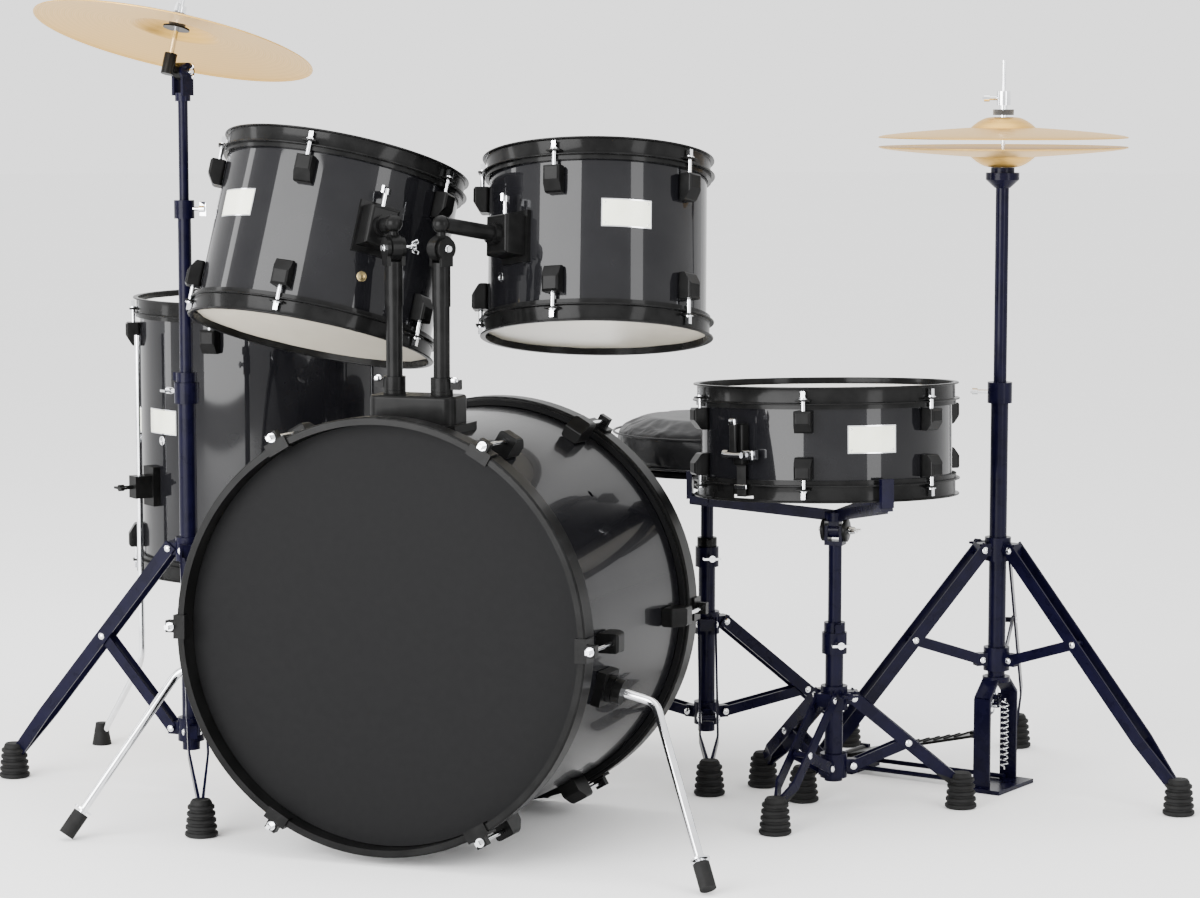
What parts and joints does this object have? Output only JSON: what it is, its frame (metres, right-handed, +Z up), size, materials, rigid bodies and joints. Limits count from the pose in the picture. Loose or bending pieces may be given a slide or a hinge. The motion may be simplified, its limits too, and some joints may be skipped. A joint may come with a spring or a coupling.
{
  "type": "acoustic drum kit",
  "caption": "Acoustic drum kit: bass drum, two hanging toms, floor tom, snare on a stand, hi-hat, crash cymbal, kick pedal and throne, with folding and sliding hardware.",
  "frame": {"origin": "middle of the whole kit's footprint, on the floor", "axes": "+Z up, -Y towards the audience (the bass drum's front head faces -Y), +X towards the hi-hat side of the kit"},
  "size_m": [1.7064, 1.1044, 1.1447],
  "materials": {
    "drum_lacquer": "high gloss black lacquer",
    "hoop_lacquer": "black lacquered wood",
    "hoop_chrome": "gloss black steel",
    "head_white": "coated white film",
    "head_dark": "matte black film in front",
    "lug_black": "satin black cast metal",
    "chrome": "polished chrome",
    "stand_black": "gloss black powder coat",
    "snare_wire": "bright steel wire",
    "cymbal_brass": "lathed brass",
    "vinyl_black": "black vinyl",
    "holder_black": "satin black cast metal"
  },
  "bodies": {
    "kit": {"bass_drum_shell": "drum_lacquer", "bass_drum_hoops": "hoop_lacquer", "bass_drum_heads": "head_dark", "bass_drum_lugs": "lug_black", "bass_drum_claws": "holder_black", "tom_holder_and_spur_brackets": "holder_black", "floor_tom_legs": "chrome", "snare_stand_base": "stand_black", "hihat_stand_post": "stand_black", "crash_stand_base": "stand_black", "throne_base": "stand_black", "kick_pedal_frame": "holder_black"},
    "spur_left": {"bass_spur_left": "chrome"},
    "spur_right": {"bass_spur_right": "chrome"},
    "tom_left_post": {"tom_left_post": "holder_black"},
    "tom_left_arm": {"tom_left_arm": "holder_black"},
    "tom_left": {"tom_left_bracket": "lug_black", "tom_left_shell": "drum_lacquer", "tom_left_hoops": "hoop_chrome", "tom_left_heads": "head_white", "tom_left_lugs": "lug_black"},
    "tom_right_post": {"tom_right_post": "holder_black"},
    "tom_right_arm": {"tom_right_arm": "holder_black"},
    "tom_right": {"tom_right_bracket": "lug_black", "tom_right_shell": "drum_lacquer", "tom_right_hoops": "hoop_chrome", "tom_right_heads": "head_white", "tom_right_lugs": "lug_black"},
    "floor_tom": {"floor_tom_shell": "drum_lacquer", "floor_tom_hoops": "hoop_chrome", "floor_tom_heads": "head_white", "floor_tom_lugs": "lug_black", "floor_tom_leg_brackets": "lug_black"},
    "snare_stand_tube": {"snare_stand_tube": "stand_black"},
    "snare_drum": {"snare_stand_basket": "stand_black", "snare_shell": "drum_lacquer", "snare_hoops": "hoop_chrome", "snare_heads": "head_white", "snare_lugs": "lug_black", "snare_wires": "snare_wire", "snare_strainer": "lug_black"},
    "snare_lever": {"snare_strainer_lever": "chrome"},
    "hihat_upper": {"hihat_upper_tube": "stand_black", "hihat_bottom_cymbal": "cymbal_brass"},
    "hihat_rod": {"hihat_pull_rod": "chrome", "hihat_top_cymbal": "cymbal_brass"},
    "hihat_pedal": {"hihat_footboard": "holder_black"},
    "hihat_collar": {"hihat_sliding_collar": "stand_black"},
    "hihat_leg_1": {"hihat_leg_1": "stand_black"},
    "hihat_brace_1": {"hihat_brace_1": "stand_black"},
    "hihat_leg_2": {"hihat_leg_2": "stand_black"},
    "hihat_brace_2": {"hihat_brace_2": "stand_black"},
    "hihat_leg_3": {"hihat_leg_3": "stand_black"},
    "hihat_brace_3": {"hihat_brace_3": "stand_black"},
    "crash_tube": {"crash_upper_tube": "stand_black"},
    "crash_tilter": {"crash_tilter": "stand_black"},
    "crash_cymbal": {"crash_cymbal": "cymbal_brass"},
    "throne_seat": {"throne_seat": "vinyl_black"},
    "kick_board": {"kick_pedal_board": "holder_black"},
    "kick_beater": {"kick_pedal_beater": "holder_black"}
  },
  "joints": [
    {"name": "spur_left_fold", "type": "hinge", "parent": "kit", "child": "spur_left", "pos_m": [-0.39105, -0.4152, 0.23215], "axis": [-0.9744, -0.0059, -0.2249], "range_deg": [0, 57.9]},
    {"name": "spur_right_fold", "type": "hinge", "parent": "kit", "child": "spur_right", "pos_m": [0.18851, -0.4152, 0.23215], "axis": [-0.9744, 0.0059, 0.2249], "range_deg": [0, 57.9]},
    {"name": "tom_left_height", "type": "slide", "parent": "kit", "child": "tom_left_post", "axis": [0, 0, 1], "range_m": [0, 0.05]},
    {"name": "tom_left_tilt", "type": "hinge", "parent": "tom_left_post", "child": "tom_left_arm", "pos_m": [-0.12527, -0.40857, 0.806], "axis": [0.7093, 0.705, 0], "range_deg": [-7, 14]},
    {"name": "tom_left_roll", "type": "hinge", "parent": "tom_left_arm", "child": "tom_left", "pos_m": [-0.12527, -0.40857, 0.838], "axis": [0.6984, -0.7026, 0.1364], "range_deg": [-6, 6]},
    {"name": "tom_right_height", "type": "slide", "parent": "kit", "child": "tom_right_post", "axis": [0, 0, 1], "range_m": [0, 0.05]},
    {"name": "tom_right_tilt", "type": "hinge", "parent": "tom_right_post", "child": "tom_right_arm", "pos_m": [-0.05727, -0.40857, 0.806], "axis": [0.8872, -0.4614, 0], "range_deg": [-7, 6]},
    {"name": "tom_right_roll", "type": "hinge", "parent": "tom_right_arm", "child": "tom_right", "pos_m": [-0.05727, -0.40857, 0.838], "axis": [-0.4551, -0.8751, 0.1648], "range_deg": [-6, 6]},
    {"name": "floor_tom_height", "type": "slide", "parent": "kit", "child": "floor_tom", "axis": [0, 0, 1], "range_m": [-0.05, 0.15]},
    {"name": "snare_stand_height", "type": "slide", "parent": "kit", "child": "snare_stand_tube", "axis": [0, 0, 1], "range_m": [0, 0.035]},
    {"name": "snare_tilt", "type": "hinge", "parent": "snare_stand_tube", "child": "snare_drum", "pos_m": [0.36773, 0.00443, 0.399], "axis": [1, 0, 0], "range_deg": [-9, 9]},
    {"name": "snare_throw_off", "type": "hinge", "parent": "snare_drum", "child": "snare_lever", "pos_m": [0.27679, -0.18503, 0.52106], "axis": [0.9197, -0.3903, 0.042], "range_deg": [0, 80]},
    {"name": "hihat_height", "type": "slide", "parent": "kit", "child": "hihat_upper", "axis": [0, 0, 1], "range_m": [-0.1, 0]},
    {"name": "hihat_close", "type": "slide", "parent": "kit", "child": "hihat_rod", "axis": [0, 0, -1], "range_m": [0, 0.012], "stiffness_N_per_m": 900, "springref_m": -0.03},
    {"name": "hihat_pedal_press", "type": "hinge", "parent": "kit", "child": "hihat_pedal", "pos_m": [0.31874, 0.28952, 0.024], "axis": [0.2419, 0.9703, 0], "range_deg": [0, 3.2]},
    {"name": "hihat_legs_fold", "type": "slide", "parent": "kit", "child": "hihat_collar", "axis": [0, 0, 1], "range_m": [0, 0.07]},
    {"name": "hihat_leg_1_turn", "type": "hinge", "parent": "hihat_collar", "child": "hihat_leg_1", "pos_m": [0.57326, 0.22364, 0.351], "axis": [0.3256, 0.9455, 0], "range_deg": [0, 13.18]},
    {"name": "hihat_brace_1_turn", "type": "hinge", "parent": "kit", "child": "hihat_brace_1", "pos_m": [0.57326, 0.22364, 0.19], "axis": [-0.3256, -0.9455, 0], "range_deg": [0, 29.57]},
    {"name": "hihat_leg_2_turn", "type": "hinge", "parent": "hihat_collar", "child": "hihat_leg_2", "pos_m": [0.52675, 0.21544, 0.351], "axis": [0.6293, -0.7771, 0], "range_deg": [0, 13.18]},
    {"name": "hihat_brace_2_turn", "type": "hinge", "parent": "kit", "child": "hihat_brace_2", "pos_m": [0.52675, 0.21544, 0.19], "axis": [-0.6293, 0.7771, 0], "range_deg": [0, 29.57]},
    {"name": "hihat_leg_3_turn", "type": "hinge", "parent": "hihat_collar", "child": "hihat_leg_3", "pos_m": [0.54444, 0.25923, 0.351], "axis": [-0.9925, -0.1219, 0], "range_deg": [0, 13.18]},
    {"name": "hihat_brace_3_turn", "type": "hinge", "parent": "kit", "child": "hihat_brace_3", "pos_m": [0.54444, 0.25923, 0.19], "axis": [0.9925, 0.1219, 0], "range_deg": [0, 29.57]},
    {"name": "crash_height", "type": "slide", "parent": "kit", "child": "crash_tube", "axis": [0, 0, 1], "range_m": [0, 0.12]},
    {"name": "crash_tilt", "type": "hinge", "parent": "crash_tube", "child": "crash_tilter", "pos_m": [-0.54027, -0.19457, 1.038], "axis": [-0.926, 0.3775, 0], "range_deg": [-20, 20]},
    {"name": "crash_spin", "type": "hinge", "parent": "crash_tilter", "child": "crash_cymbal", "pos_m": [-0.543, -0.20126, 1.10902], "axis": [0.106, 0.26, 0.9598], "continuous": true},
    {"name": "throne_swivel", "type": "hinge", "parent": "kit", "child": "throne_seat", "pos_m": [0.09173, 0.27343, 0.327], "axis": [0, 0, 1], "continuous": true},
    {"name": "kick_beater_swing", "type": "hinge", "parent": "kit", "child": "kick_beater", "pos_m": [-0.10127, -0.01057, 0.2], "axis": [1, 0, 0], "range_deg": [0, 54], "stiffness_Nm_per_rad": 0.8, "springref_deg": -51.57},
    {"name": "kick_pedal_press", "type": "hinge", "parent": "kit", "child": "kick_board", "pos_m": [-0.10127, 0.24943, 0.024], "axis": [1, 0, 0], "range_deg": [0, 6.05]}
  ],
  "couplings": [
    {"joint": "hihat_pedal_press", "follows": "hihat_close", "rad_per_m": 4.6296},
    {"joint": "hihat_leg_1_turn", "follows": "hihat_legs_fold", "rad_per_m": 3.2852},
    {"joint": "hihat_brace_1_turn", "follows": "hihat_legs_fold", "rad_per_m": 7.3718},
    {"joint": "hihat_leg_2_turn", "follows": "hihat_legs_fold", "rad_per_m": 3.2852},
    {"joint": "hihat_brace_2_turn", "follows": "hihat_legs_fold", "rad_per_m": 7.3718},
    {"joint": "hihat_leg_3_turn", "follows": "hihat_legs_fold", "rad_per_m": 3.2852},
    {"joint": "hihat_brace_3_turn", "follows": "hihat_legs_fold", "rad_per_m": 7.3718},
    {"joint": "kick_pedal_press", "follows": "kick_beater_swing", "ratio": 0.11161}
  ]
}
